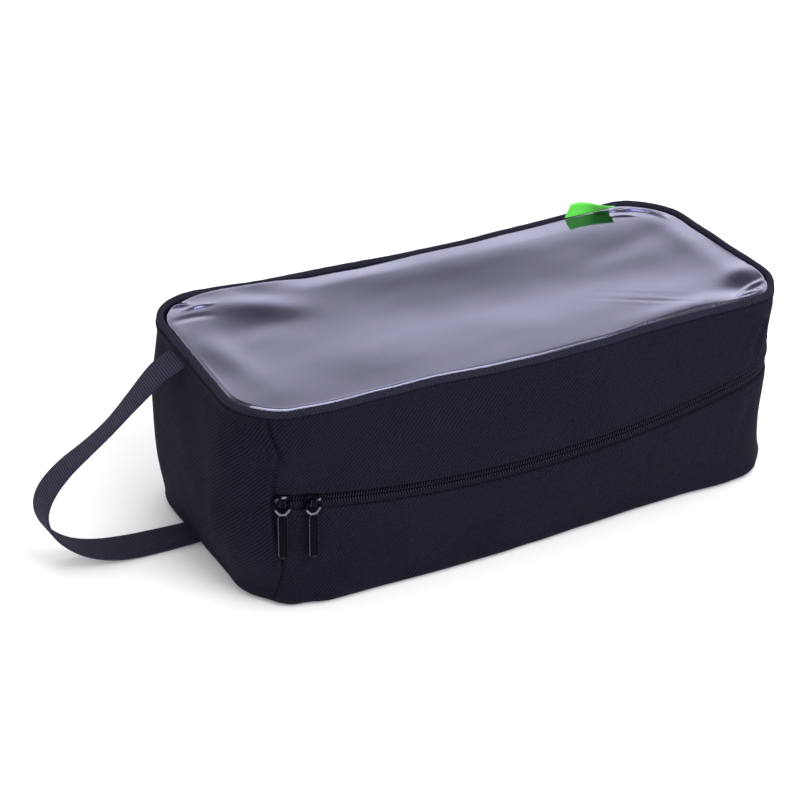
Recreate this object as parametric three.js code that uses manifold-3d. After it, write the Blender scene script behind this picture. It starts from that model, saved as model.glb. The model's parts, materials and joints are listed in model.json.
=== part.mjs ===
// A travel shoe bag: a soft rounded box of black woven polyester with a clear film window in its lid.
//
// A coil zip runs along the front, round the right end and along the back, so the lid opens on three sides
// and folds about the handle end. Two sliders, each with its own pull, run on the front stretch. A webbing
// loop is sewn to the left end, from the top piping down to the bottom seam.
//
// Units are millimetres and +Z is up. The origin is the centre of the base, on the floor. +X points away
// from the handle, and the zip pulls are on the -Y side.

import * as THREE from "three";
import { mergeVertices } from "three/addons/utils/BufferGeometryUtils.js";
import Module from "manifold-3d";

const manifold = await Module();
manifold.setup();

// ---------------------------------------------------------------- driving dimensions

const LENGTH = 338; // outside of the walls, end to end
const WIDTH = 146; // outside of the walls, front to back, at the corners
const HEIGHT = 124; // floor to the top of the piping
const CORNER_RADIUS = 32; // of the walls, seen from above
const FRONT_BOW = 4; // how far the front wall bulges out at mid-length
const BACK_BOW = -4; // the back wall is drawn in by this much

const FABRIC = 2; // coated woven fabric with its backing
const GAP = 0.35; // between neighbouring pieces that are sewn together

const SEAM_FROM_END = 18; // each side seam of the handle end's panel, measured from the end

const ZIP_END_Z = 71; // zip line where the straight front begins and ends
const ZIP_SAG = 13.3; // how far the zip line hangs below that at mid-length
const ZIP_TILT = 0.01; // the zip line climbs by this much for each millimetre away from the handle
const ZIP_TAPE = { width: 13, thickness: 0.8 }; // each half
const ZIP_COIL = { near: 0.6, far: 3.2, thickness: 1.8 }; // each half's edges, from the zip line
const UPPER_WALL_EDGE = 3.6; // upper wall's hem above the zip line
const LOWER_WALL_EDGE = 5.8; // lower wall's hem below the zip line

const PIPING_RADIUS = 2.3;
const PIPING_PROUD = 0.8; // how far the piping stands out past the walls
const PIPING_SKIN = 0.5;
const PIPING_FLANGE = 8; // seam allowance of the piping, inside the wall
const FILM = { thickness: 1, top: HEIGHT - 1.9, inset: 4.2 };

const BINDING = { height: 9, thickness: 1.2, width: 6, offset: 2.6 }; // tape over the raw seam edges

const STRAP = { width: 20, thickness: 1.6, y: 16 };
const STRAP_PATH = [
  // the strap's centre line, [x, z], from the top seam down to the bottom seam
  [-169.95, 117.2],
  [-181.2, 110.8],
  [-196.2, 97],
  [-210, 84],
  [-223.2, 74],
  [-236, 65],
  [-246, 55],
  [-251, 45.5],
  [-251.5, 36.5],
  [-248, 27],
  [-241, 18],
  [-231, 10.5],
  [-218, 5.4],
  [-203, 2.7],
  [-186, 1.8],
  [-169.35, 1.6],
];
const LABEL = { length: 30, height: 11.5, sheet: 0.6, x: 115, depth: 4.4 };

const SLIDER = { length: 10.2, width: 8.4, outerSkin: 1.3, innerSkin: 1 };
const LEFT_SLIDER_X = -147; // in the corner
const RIGHT_SLIDER_X = -131; // on the front
const PULL = { bar: 1.4, loopWidth: 9.4, loopHeight: 7.4, length: 36, width: 5.6, thickness: 1.6 };

// ---------------------------------------------------------------- materials

const fabric = new THREE.MeshStandardMaterial({ color: 0x1d1c24, roughness: 0.9, metalness: 0 });
const webbing = new THREE.MeshStandardMaterial({ color: 0x24222d, roughness: 0.85, metalness: 0 });
const tapeCloth = new THREE.MeshStandardMaterial({ color: 0x17161d, roughness: 0.9, metalness: 0 });
const nylon = new THREE.MeshStandardMaterial({ color: 0x1a1920, roughness: 0.45, metalness: 0 });
const filler = new THREE.MeshStandardMaterial({ color: 0xd8d8d4, roughness: 0.7, metalness: 0 });
const blackMetal = new THREE.MeshStandardMaterial({ color: 0x0c0c0f, roughness: 0.25, metalness: 0.8 });
const satin = new THREE.MeshStandardMaterial({ color: 0x35c02a, roughness: 0.45, metalness: 0 });
const clearFilm = new THREE.MeshStandardMaterial({
  color: 0xd9dae6,
  roughness: 0.08,
  metalness: 0,
  transparent: true,
  opacity: 0.3,
});

const bag = new THREE.Group();

function add(name, geometry, material, parent = bag) {
  const mesh = new THREE.Mesh(geometry, material);
  mesh.name = name;
  parent.add(mesh);
  return mesh;
}

// Geometries that overlap, as one solid.
function join(geometries) {
  const solids = geometries.map((geometry) => {
    const bare = new THREE.BufferGeometry();
    bare.setAttribute("position", geometry.getAttribute("position"));
    bare.setIndex(geometry.index);
    const merged = mergeVertices(bare, 1e-4);
    const vertProperties = merged.attributes.position.array;
    return new manifold.Manifold(
      new manifold.Mesh({ numProp: 3, vertProperties, triVerts: new Uint32Array(merged.index.array) }),
    );
  });
  const mesh = manifold.Manifold.union(solids).getMesh();
  return new THREE.BufferGeometry()
    .setAttribute("position", new THREE.Float32BufferAttribute(mesh.vertProperties, 3))
    .setIndex([...mesh.triVerts]);
}

// ---------------------------------------------------------------- outline seen from above

// The front stretch of the zip line is an arc of a circle in a leaning plane: it hangs down by ZIP_SAG and
// bulges out by FRONT_BOW together. A slider that turns about this circle's axis stays on the zip.
const STRAIGHT = LENGTH / 2 - CORNER_RADIUS; // half of the run between two corners
const SAG = Math.hypot(ZIP_SAG, FRONT_BOW);
const ARC_RADIUS = (STRAIGHT ** 2 + SAG ** 2) / (2 * SAG);
const SAG_DIRECTION = new THREE.Vector3(0, -FRONT_BOW, -ZIP_SAG).normalize();
const ARC_LOWEST = new THREE.Vector3(0, -WIDTH / 2 - FRONT_BOW, ZIP_END_Z - ZIP_SAG);
const ARC_TILT = new THREE.Quaternion().setFromAxisAngle(new THREE.Vector3(0, -1, 0), Math.atan(ZIP_TILT));
const ARC_AXIS = new THREE.Vector3(1, 0, 0).cross(SAG_DIRECTION).negate().applyQuaternion(ARC_TILT);
const ARC_CENTRE = SAG_DIRECTION.clone().multiplyScalar(-ARC_RADIUS).applyQuaternion(ARC_TILT).add(ARC_LOWEST);

// 0 at both ends of the straight run, 1 at its middle, following that arc.
const arcShare = (x) => (Math.sqrt(ARC_RADIUS ** 2 - x ** 2) - (ARC_RADIUS - SAG)) / SAG;
const arcSlope = (x) => -x / Math.sqrt(ARC_RADIUS ** 2 - x ** 2) / SAG;

const CORNER_LENGTH = (Math.PI / 2) * CORNER_RADIUS;
const CORNER_RISE = (-arcSlope(STRAIGHT) * ZIP_SAG * CORNER_LENGTH) / 2; // the zip levels out round a corner
const zipInCorner = (share) => ZIP_END_Z + CORNER_RISE * share * (2 - share);

// One station of the outline: a place on the walls' outer face, the inward normal there, the distance
// along the outline and the height of the zip line.
function station(x, y, nx, ny, level) {
  return { x, y, nx, ny, zip: level + ZIP_TILT * x, s: 0 };
}

function straightSide(sideY, outward, bow, steps) {
  const made = [];
  for (let i = 0; i <= steps; i++) {
    const x = -outward * (-STRAIGHT + (2 * STRAIGHT * i) / steps);
    const y = sideY + outward * bow * arcShare(x);
    const slope = outward * bow * arcSlope(x);
    const scale = -outward / Math.hypot(slope, 1);
    made.push(station(x, y, -slope * scale, scale, ZIP_END_Z - ZIP_SAG * arcShare(x)));
  }
  return made;
}

// A quarter turn, from startAngle, without its first and last points. towardsEnd says whether the zip is
// climbing to the level of an end wall or coming down from it.
function corner(centreX, centreY, startAngle, towardsEnd, steps = 10) {
  const made = [];
  for (let i = 1; i < steps; i++) {
    const angle = startAngle + (Math.PI / 2) * (i / steps);
    const [nx, ny] = [-Math.cos(angle), -Math.sin(angle)];
    const share = towardsEnd ? i / steps : 1 - i / steps;
    made.push(station(centreX - nx * CORNER_RADIUS, centreY - ny * CORNER_RADIUS, nx, ny, zipInCorner(share)));
  }
  return made;
}

function endSide(direction, fromY, toY, steps) {
  const made = [];
  for (let i = 0; i <= steps; i++) {
    const y = fromY + ((toY - fromY) * i) / steps;
    made.push(station((direction * LENGTH) / 2, y, -direction, 0, zipInCorner(1)));
  }
  return made;
}

// The whole outline, counterclockwise from the middle of the handle end. It is laid out for one and a half
// laps, so that the handle end's panel, which crosses the start, is one stretch of it.
function layOutline() {
  const half = WIDTH / 2 - CORNER_RADIUS;
  const lap = [
    ...endSide(-1, 0, -half, 4),
    ...corner(-STRAIGHT, -half, Math.PI, false),
    ...straightSide(-WIDTH / 2, -1, FRONT_BOW, 36),
    ...corner(STRAIGHT, -half, -Math.PI / 2, true),
    ...endSide(1, -half, half, 8),
    ...corner(STRAIGHT, half, 0, false),
    ...straightSide(WIDTH / 2, 1, BACK_BOW, 36),
    ...corner(-STRAIGHT, half, Math.PI / 2, true),
    ...endSide(-1, half, 0, 4),
  ];
  const second = lap.slice(1, Math.ceil(lap.length / 2)).map((p) => ({ ...p }));
  const all = [...lap, ...second];
  for (let i = 1; i < all.length; i++)
    all[i].s = all[i - 1].s + Math.hypot(all[i].x - all[i - 1].x, all[i].y - all[i - 1].y);
  return { all, lap };
}

const { all: OUTLINE, lap: LAP } = layOutline();
const AROUND = LAP[LAP.length - 1].s; // length of one lap

// The stations from one distance along the outline to another, both ends included.
function stretch(from, to) {
  const between = OUTLINE.filter((p) => p.s > from + 0.01 && p.s < to - 0.01);
  return [stationAt(from), ...between, stationAt(to)];
}

function stationAt(s) {
  const i = Math.max(1, OUTLINE.findIndex((p) => p.s >= s));
  const [a, b] = [OUTLINE[i - 1], OUTLINE[i]];
  const t = (s - a.s) / (b.s - a.s);
  const mix = (key) => a[key] + (b[key] - a[key]) * t;
  return { x: mix("x"), y: mix("y"), nx: mix("nx"), ny: mix("ny"), zip: mix("zip"), s };
}

// The side seams of the handle end's panel, as distances along the outline.
const SEAM_ANGLE = Math.asin((CORNER_RADIUS - SEAM_FROM_END) / CORNER_RADIUS);
const FRONT_SEAM = WIDTH / 2 - CORNER_RADIUS + CORNER_RADIUS * (Math.PI / 2 - SEAM_ANGLE);
const BACK_SEAM = AROUND - FRONT_SEAM;
const FOLD_Z = stationAt(FRONT_SEAM).zip; // the lid folds about this height on the handle end

// ---------------------------------------------------------------- swept and flat pieces

// Sweeps a section, [depth inwards, height] points counterclockwise, along some stations.
function band(stations, section, closed = false) {
  const rings = stations.map((p) => section(p).map(([depth, z]) => [p.x + p.nx * depth, p.y + p.ny * depth, z]));
  const size = rings[0].length;
  const position = rings.flat(2);
  const index = [];
  const steps = closed ? rings.length : rings.length - 1;
  for (let i = 0; i < steps; i++) {
    const here = i * size;
    const next = ((i + 1) % rings.length) * size;
    for (let j = 0; j < size; j++) {
      const k = (j + 1) % size;
      index.push(here + j, here + k, next + k, here + j, next + k, next + j);
    }
  }
  if (!closed) {
    const last = (rings.length - 1) * size;
    const flat = (p) => section(p).map(([depth, z]) => new THREE.Vector2(depth, z));
    for (const [a, b, c] of THREE.ShapeUtils.triangulateShape(flat(stations[0]), [])) index.push(c, b, a);
    for (const [a, b, c] of THREE.ShapeUtils.triangulateShape(flat(stations.at(-1)), []))
      index.push(last + a, last + b, last + c);
  }
  return new THREE.BufferGeometry()
    .setAttribute("position", new THREE.Float32BufferAttribute(position, 3))
    .setIndex(index);
}

const rectangle = (depth, thickness, low, high) => [
  [depth, low],
  [depth + thickness, low],
  [depth + thickness, high],
  [depth, high],
];

// A flat panel with the bag's outline, drawn in by inset.
function panel(inset, low, high) {
  const shape = new THREE.Shape(LAP.slice(0, -1).map((p) => new THREE.Vector2(p.x + p.nx * inset, p.y + p.ny * inset)));
  const geometry = new THREE.ExtrudeGeometry(shape, { depth: high - low, bevelEnabled: false });
  return geometry.translate(0, 0, low);
}

// ---------------------------------------------------------------- base: floor panel, lower walls, seams

const PIPING_Z = HEIGHT - PIPING_RADIUS; // centre of the piping
const WALL_TOP = PIPING_Z - PIPING_RADIUS - GAP;
const WALLS = [FRONT_SEAM + GAP / 2, BACK_SEAM - GAP / 2];
const HANDLE_END = [BACK_SEAM + GAP / 2, AROUND + FRONT_SEAM - GAP / 2];

function buildBase() {
  add("bottom_panel", panel(FABRIC + GAP, 0, FABRIC), fabric);
  add("lower_wall", band(stretch(...WALLS), (p) => rectangle(0, FABRIC, 0, p.zip - LOWER_WALL_EDGE)), fabric);
  add("end_panel_lower", band(stretch(...HANDLE_END), () => rectangle(0, FABRIC, 0, FOLD_Z - GAP)), fabric);
  const foot = FABRIC + GAP;
  const ring = () => rectangle(FABRIC + GAP, BINDING.thickness, foot, foot + BINDING.height);
  add("bottom_seam_binding", band(LAP.slice(0, -1), ring, true), webbing);
}

// The tape over a side seam, below and above the zip. The seam's raw edges are turned towards the handle.
function buildSeamBindings() {
  const depth = FABRIC + ZIP_TAPE.thickness + 2 * GAP;
  const lowerFoot = FABRIC + BINDING.height + 2 * GAP;
  const upperTop = WALL_TOP - PIPING_FLANGE - 2 * GAP;
  for (const [side, seam, turned] of [["front", FRONT_SEAM, -1], ["back", BACK_SEAM, 1]]) {
    const edges = [seam + turned * BINDING.offset, seam + turned * (BINDING.offset + BINDING.width)];
    const strip = stretch(Math.min(...edges), Math.max(...edges));
    const lower = () => rectangle(depth, BINDING.thickness, lowerFoot, FOLD_Z - 2 * GAP);
    const upper = () => rectangle(depth, BINDING.thickness, FOLD_Z + 2 * GAP, upperTop);
    add(`seam_binding_${side}_lower`, band(strip, lower), webbing);
    add(`seam_binding_${side}_upper`, band(strip, upper), webbing);
  }
}

// ---------------------------------------------------------------- lid: upper walls, piping, window

function buildLid() {
  add("upper_wall", band(stretch(...WALLS), (p) => rectangle(0, FABRIC, p.zip + UPPER_WALL_EDGE, WALL_TOP)), fabric);
  add("end_panel_upper", band(stretch(...HANDLE_END), () => rectangle(0, FABRIC, FOLD_Z + GAP, WALL_TOP)), fabric);
  add("window_film", panel(FILM.inset, FILM.top - FILM.thickness, FILM.top), clearFilm);
}

// The piping's cover is one strip of fabric, wrapped round the cord with both of its edges turned down
// into the seam behind the wall.
function pipingCoverSection() {
  const centre = PIPING_RADIUS - PIPING_PROUD;
  const outerDepth = FABRIC + GAP;
  const innerDepth = outerDepth + 2 * PIPING_SKIN + GAP;
  const foot = WALL_TOP - PIPING_FLANGE;
  const meets = (radius, depth) => Math.acos((depth - centre) / radius);
  const arc = (radius, from, to, steps) =>
    Array.from({ length: steps + 1 }, (_, i) => {
      const angle = from + ((to - from) * i) / steps;
      return [centre + radius * Math.cos(angle), PIPING_Z + radius * Math.sin(angle)];
    });
  const [outside, inside] = [PIPING_RADIUS, PIPING_RADIUS - PIPING_SKIN];
  const full = 2 * Math.PI;
  return [
    [innerDepth, foot],
    ...arc(outside, -meets(outside, innerDepth), full - meets(outside, outerDepth), 14),
    [outerDepth, foot],
    [outerDepth + PIPING_SKIN, foot],
    ...arc(inside, full - meets(inside, outerDepth + PIPING_SKIN), -meets(inside, innerDepth - PIPING_SKIN), 12),
    [innerDepth - PIPING_SKIN, foot],
  ];
}

function buildPiping() {
  const ring = LAP.slice(0, -1);
  add("piping_cover", band(ring, pipingCoverSection, true), fabric);
  const cordRadius = PIPING_RADIUS - PIPING_SKIN - GAP;
  const cord = () =>
    Array.from({ length: 8 }, (_, i) => {
      const angle = (2 * Math.PI * i) / 8;
      return [
        PIPING_RADIUS - PIPING_PROUD + cordRadius * Math.cos(angle),
        PIPING_Z + cordRadius * Math.sin(angle),
      ];
    });
  add("piping_cord", band(ring, cord, true), filler);
}

// ---------------------------------------------------------------- zip: tapes and coils

function buildZip() {
  const run = stretch(...WALLS);
  const tape = FABRIC + GAP;
  const coil = FABRIC - ZIP_COIL.thickness;
  const halves = [["upper", 1], ["lower", -1]];
  for (const [half, up] of halves) {
    const strip = (depth, thickness, near, far) => (p) => {
      const [a, b] = [p.zip + up * near, p.zip + up * far];
      return rectangle(depth, thickness, Math.min(a, b), Math.max(a, b));
    };
    const tapeStrip = strip(tape, ZIP_TAPE.thickness, ZIP_COIL.near + GAP, ZIP_TAPE.width);
    add(`zip_tape_${half}`, band(run, tapeStrip), tapeCloth);
    add(`zip_coil_${half}`, band(run, strip(coil, ZIP_COIL.thickness, ZIP_COIL.near, ZIP_COIL.far)), nylon);
  }
}

// ---------------------------------------------------------------- sliders and pulls

// Inside a slider's group, x runs along the zip, y inwards from the walls' outer face and z upwards.
function sliderOnFront(x) {
  const turn = new THREE.Group();
  turn.position.copy(ARC_CENTRE);
  turn.quaternion.setFromAxisAngle(ARC_AXIS, Math.asin(x / ARC_RADIUS));
  const onZip = new THREE.Group();
  onZip.position.subVectors(ARC_LOWEST, ARC_CENTRE);
  onZip.quaternion.copy(ARC_TILT);
  turn.add(onZip);
  bag.add(turn);
  return onZip;
}

function sliderInCorner(x) {
  const past = Math.asin((-STRAIGHT - x) / CORNER_RADIUS);
  const s = WIDTH / 2 - CORNER_RADIUS + CORNER_LENGTH - CORNER_RADIUS * past;
  const climb = (stationAt(s + 1).zip - stationAt(s - 1).zip) / 2;
  const inwards = new THREE.Vector3(Math.sin(past), Math.cos(past), 0);
  const along = new THREE.Vector3(Math.cos(past), -Math.sin(past), climb).normalize();
  const up = new THREE.Vector3().crossVectors(along, inwards);
  const onZip = new THREE.Group();
  onZip.position.set(x, -WIDTH / 2 + CORNER_RADIUS * (1 - Math.cos(past)), stationAt(s).zip);
  onZip.quaternion.setFromRotationMatrix(new THREE.Matrix4().makeBasis(along, inwards, up));
  bag.add(onZip);
  return onZip;
}

// A plate in the x-z plane, from one depth to another.
function plate(shape, from, to) {
  const geometry = new THREE.ExtrudeGeometry(shape, { depth: to - from, bevelEnabled: false, curveSegments: 6 });
  return geometry.rotateX(Math.PI / 2).translate(0, to, 0);
}

function roundedShape(halfX, halfZ, radius) {
  const shape = new THREE.Shape();
  shape.absarc(halfX - radius, halfZ - radius, radius, 0, Math.PI / 2);
  shape.absarc(-halfX + radius, halfZ - radius, radius, Math.PI / 2, Math.PI);
  shape.absarc(-halfX + radius, -halfZ + radius, radius, Math.PI, 1.5 * Math.PI);
  shape.absarc(halfX - radius, -halfZ + radius, radius, 1.5 * Math.PI, 2 * Math.PI);
  return shape;
}

const COIL_DEPTH = FABRIC - ZIP_COIL.thickness;
const OUTER_PLATE = [COIL_DEPTH - 0.4 - SLIDER.outerSkin, COIL_DEPTH - 0.4];
const INNER_PLATE = FABRIC + GAP + ZIP_TAPE.thickness + 0.75;
const POST = { length: 3.4, thickness: 0.5 };
const BAR_CLEARANCE = 0.6; // all round the pull's bar, inside the keeper
const BAR_DEPTH = OUTER_PLATE[0] - BAR_CLEARANCE - PULL.bar / 2;
const KEEPER = { skin: 0.9, width: 3.2, halfOpening: PULL.bar / 2 + 0.95 };

// Two plates, outside the coils and behind the tapes, joined by a thin post that runs between the coils.
function sliderBody(mouth) {
  const outline = roundedShape(SLIDER.length / 2, SLIDER.width / 2, 2.6);
  const [outer, inner] = [OUTER_PLATE[1] - 0.4, INNER_PLATE + 0.4];
  const post = new THREE.BoxGeometry(POST.length, inner - outer, POST.thickness);
  post.translate(mouth * (SLIDER.length / 2 - POST.length), (inner + outer) / 2, 0);
  return join([plate(outline, ...OUTER_PLATE), plate(outline, INNER_PLATE, INNER_PLATE + SLIDER.innerSkin), post]);
}

// The keeper is an arch over the pull's bar, with its two feet on the outer plate.
function sliderKeeper() {
  const { skin, width, halfOpening } = KEEPER;
  const [foot, top] = [GAP, 2 * BAR_CLEARANCE + PULL.bar];
  const shape = new THREE.Shape();
  shape.moveTo(halfOpening, foot);
  shape.lineTo(halfOpening + skin, foot);
  shape.lineTo(halfOpening + skin, top - 0.3);
  shape.quadraticCurveTo(halfOpening + skin, top + skin, halfOpening - 0.3, top + skin);
  shape.lineTo(0.3 - halfOpening, top + skin);
  shape.quadraticCurveTo(-halfOpening - skin, top + skin, -halfOpening - skin, top - 0.3);
  shape.lineTo(-halfOpening - skin, foot);
  shape.lineTo(-halfOpening, foot);
  shape.lineTo(-halfOpening, top - 0.6);
  shape.quadraticCurveTo(-halfOpening, top, 0.6 - halfOpening, top);
  shape.lineTo(halfOpening - 0.6, top);
  shape.quadraticCurveTo(halfOpening, top, halfOpening, top - 0.6);
  const geometry = new THREE.ExtrudeGeometry(shape, { depth: width, bevelEnabled: false, curveSegments: 5 });
  const [up, outwards, along] = [[0, 0, 1], [0, -1, 0], [1, 0, 0]].map((v) => new THREE.Vector3(...v));
  geometry.translate(0, 0, -width / 2).applyMatrix4(new THREE.Matrix4().makeBasis(up, outwards, along));
  return geometry.translate(0, OUTER_PLATE[0], 0);
}

// A wide loop that hangs by its top bar and narrows into a slim tab with a round end.
function pullTab() {
  const { bar, loopWidth, loopHeight, length, width, thickness } = PULL;
  const [loop, tab, top] = [loopWidth / 2, width / 2, bar / 2];
  const shape = new THREE.Shape();
  shape.moveTo(-loop, top - 0.7);
  shape.lineTo(-loop, top - loopHeight + 2);
  shape.quadraticCurveTo(-loop, top - loopHeight - 0.5, -tab, top - loopHeight - 2);
  shape.lineTo(-tab, top - length + tab);
  shape.absarc(0, top - length + tab, tab, Math.PI, 2 * Math.PI);
  shape.lineTo(tab, top - loopHeight - 2);
  shape.quadraticCurveTo(loop, top - loopHeight - 0.5, loop, top - loopHeight + 2);
  shape.lineTo(loop, top - 0.7);
  shape.quadraticCurveTo(loop, top, loop - 0.7, top);
  shape.lineTo(0.7 - loop, top);
  shape.quadraticCurveTo(-loop, top, -loop, top - 0.7);
  const opening = new THREE.Path();
  const side = loop - 1.6;
  opening.moveTo(-side, -top);
  opening.lineTo(side, -top);
  opening.lineTo(side, top - loopHeight + 3);
  opening.quadraticCurveTo(side, top - loopHeight + 1.4, side - 1.6, top - loopHeight + 1.4);
  opening.lineTo(1.6 - side, top - loopHeight + 1.4);
  opening.quadraticCurveTo(-side, top - loopHeight + 1.4, -side, top - loopHeight + 3);
  shape.holes.push(opening);
  return plate(shape, -thickness / 2, thickness / 2);
}

// Two sliders, mouth to mouth, each with its pull hanging down in front.
function buildSliders() {
  const places = [["left", sliderInCorner(LEFT_SLIDER_X), 1], ["right", sliderOnFront(RIGHT_SLIDER_X), -1]];
  for (const [side, group, mouth] of places) {
    add(`slider_${side}_body`, sliderBody(mouth), blackMetal, group);
    add(`slider_${side}_keeper`, sliderKeeper(), blackMetal, group);
    const hanging = new THREE.Group();
    hanging.position.set(0, BAR_DEPTH, 0);
    hanging.quaternion.copy(plumb(group));
    group.add(hanging);
    add(`pull_${side}`, pullTab(), blackMetal, hanging);
  }
}

// The turn, inside a slider's group, that lets the pull hang straight down from the leaning zip.
function plumb(group) {
  bag.updateMatrixWorld(true);
  const slider = group.getWorldQuaternion(new THREE.Quaternion());
  const along = new THREE.Vector3(1, 0, 0).applyQuaternion(slider);
  const upright = new THREE.Quaternion();
  upright.setFromAxisAngle(new THREE.Vector3(0, 0, 1), Math.atan2(along.y, along.x));
  return slider.invert().multiply(upright);
}

// ---------------------------------------------------------------- strap and label

// The carry loop: webbing standing on edge across the bag, swept along its path.
function buildStrap() {
  const curve = new THREE.SplineCurve(STRAP_PATH.map(([x, z]) => new THREE.Vector2(x, z)));
  const half = STRAP.thickness / 2;
  const steps = 48;
  const sides = [1, -1].map((side) =>
    Array.from({ length: steps + 1 }, (_, i) => {
      const at = curve.getPointAt(i / steps);
      const along = curve.getTangentAt(i / steps);
      return at.add(new THREE.Vector2(-along.y, along.x).multiplyScalar(side * half));
    }),
  );
  const shape = new THREE.Shape([...sides[1], ...sides[0].reverse()]);
  const geometry = new THREE.ExtrudeGeometry(shape, { depth: STRAP.width, bevelEnabled: false });
  geometry.rotateX(Math.PI / 2).translate(0, STRAP.y + STRAP.width / 2, 0);
  add("handle_strap", geometry, webbing);
}

// A short ribbon folded double and sewn into the back seam, with its fold uppermost.
function buildLabel() {
  const { length, height, sheet, x, depth } = LABEL;
  const middle = OUTLINE.filter((p) => p.y > 0).reduce((a, b) => (Math.abs(a.x - x) < Math.abs(b.x - x) ? a : b)).s;
  const foot = FILM.top + GAP;
  const top = foot + height;
  const [a, b, c, d] = [depth, depth + sheet, depth + sheet + GAP, depth + 2 * sheet + GAP];
  const fold = [
    [d, foot],
    [d, top - sheet],
    [c - GAP / 2 + 0.3, top],
    [b + GAP / 2 - 0.3, top],
    [a, top - sheet],
    [a, foot],
    [b, foot],
    [b, top - 1.5 * sheet],
    [c, top - 1.5 * sheet],
    [c, foot],
  ];
  add("side_label", band(stretch(middle - length / 2, middle + length / 2), () => fold), satin);
}

buildBase();
buildSeamBindings();
buildLid();
buildPiping();
buildZip();
buildSliders();
buildStrap();
buildLabel();

export default bag;
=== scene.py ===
"""A travel shoe bag in black twill with a clear window lid, a piped rim, a coil zip and a webbing loop.

Metres, or mm where it says so, in the CAD model's frame: +X away from the carry loop, -Y the front, with
the zip's pulls.
Most pieces are laid out on the bag's outline. A place is given by s, the distance along the outline from
the middle of the handle end towards the front, by a depth inwards from the walls' outer face, and by z.
"""

import json
import math

import bmesh
import bpy
import numpy as np
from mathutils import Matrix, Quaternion, Vector


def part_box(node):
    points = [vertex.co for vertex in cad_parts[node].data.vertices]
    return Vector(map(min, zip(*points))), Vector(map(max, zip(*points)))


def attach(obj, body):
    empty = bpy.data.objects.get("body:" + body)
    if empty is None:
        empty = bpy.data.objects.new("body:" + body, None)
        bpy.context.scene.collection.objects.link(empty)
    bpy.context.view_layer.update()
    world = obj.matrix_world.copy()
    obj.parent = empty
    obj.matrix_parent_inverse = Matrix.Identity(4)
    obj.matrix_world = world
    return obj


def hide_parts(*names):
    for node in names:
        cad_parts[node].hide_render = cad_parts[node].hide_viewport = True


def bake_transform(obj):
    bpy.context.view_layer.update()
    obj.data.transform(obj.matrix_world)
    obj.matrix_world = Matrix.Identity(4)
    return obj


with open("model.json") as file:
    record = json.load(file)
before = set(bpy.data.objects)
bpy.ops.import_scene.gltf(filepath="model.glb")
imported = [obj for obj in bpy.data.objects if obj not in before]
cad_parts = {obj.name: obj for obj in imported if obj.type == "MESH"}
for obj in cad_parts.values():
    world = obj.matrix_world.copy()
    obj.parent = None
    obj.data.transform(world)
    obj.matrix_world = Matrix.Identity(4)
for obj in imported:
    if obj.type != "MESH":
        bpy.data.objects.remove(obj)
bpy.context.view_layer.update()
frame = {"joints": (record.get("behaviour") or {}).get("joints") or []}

MM = 0.001

# ---- driving dimensions

LOWER_LOW, LOWER_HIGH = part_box("lower_wall")
LENGTH = 2 * LOWER_HIGH[0]
WIDTH = 2 * LOWER_HIGH[1]
RIM_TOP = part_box("piping_cover")[1][2]
WALL_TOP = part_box("upper_wall")[1][2] + 1.5 * MM  # the edge is tucked up against the piping
FRONT_BOW = -LOWER_LOW[1] - WIDTH / 2  # the front bulges out by this much
BACK_BOW = -FRONT_BOW  # and the back is drawn in
RADIUS = 32 * MM  # corners, seen from above
SEAM_FROM_END = 18 * MM  # the side seams, along X

ZIP_END_Z = 71 * MM  # where the long sides end
ZIP_SAG = 13.3 * MM  # in the middle of the long sides
ZIP_TILT = 0.01  # the zip line climbs by this much for each metre away from the handle
UPPER_HEM = 3.5 * MM  # from the zip line to the upper wall's folded edge
LOWER_HEM = 5.7 * MM
COIL_PITCH = 1.6 * MM

CLOTH = 1.3 * MM  # thickness
BOTTOM_INSET = 4.6 * MM  # of the bottom panel's edge
PIPING_RADIUS = 2.15 * MM
PIPING_DEPTH = 1.5 * MM  # of its centre
PIPING_Z = RIM_TOP - PIPING_RADIUS
FOOT_Z = 0.15 * MM
FILM_INSET = 2.6 * MM  # of its edge
FILM_Z = PIPING_Z + 1.35 * MM
FILM_THICKNESS = 0.4 * MM

JOINTS = {joint["name"]: joint for joint in frame["joints"]}

# ---- outline

RUN = LENGTH / 2 - RADIUS
END = WIDTH / 2 - RADIUS
SAG = math.hypot(ZIP_SAG, FRONT_BOW)
ARC = (RUN**2 + SAG**2) / (2 * SAG)
TURN = math.pi / 2 * RADIUS
CORNER_RISE = RUN / math.sqrt(ARC**2 - RUN**2) / SAG * ZIP_SAG * TURN / 2


def arc_share(x):
    """0 at both ends of a long side, 1 in its middle, on the arc that the zip's front run follows."""
    return (np.sqrt(ARC**2 - x**2) - (ARC - SAG)) / SAG


def stations(x, y, nx, ny, level):
    """Rows of x, y, inward normal and the zip's height."""
    return np.stack([x, y, nx, ny, level + ZIP_TILT * x], 1)


def long_side(outward, bow, steps=160):
    """The front (outward -1) or the back (1)."""
    x = np.linspace(-RUN, RUN, steps) * -outward
    slope = outward * bow * -x / np.sqrt(ARC**2 - x**2) / SAG
    y = outward * (WIDTH / 2 + bow * arc_share(x))
    scale = -outward / np.hypot(slope, 1)
    return stations(x, y, -slope * scale, scale, ZIP_END_Z - ZIP_SAG * arc_share(x))


def corner_turn(cx, cy, start, towards_end, steps=40):
    t = np.linspace(0, 1, steps)[1:-1]
    angle = start + math.pi / 2 * t
    nx, ny = -np.cos(angle), -np.sin(angle)
    share = t if towards_end else 1 - t
    rise = CORNER_RISE * share * (2 - share)
    return stations(cx - nx * RADIUS, cy - ny * RADIUS, nx, ny, ZIP_END_Z + rise)


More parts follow.
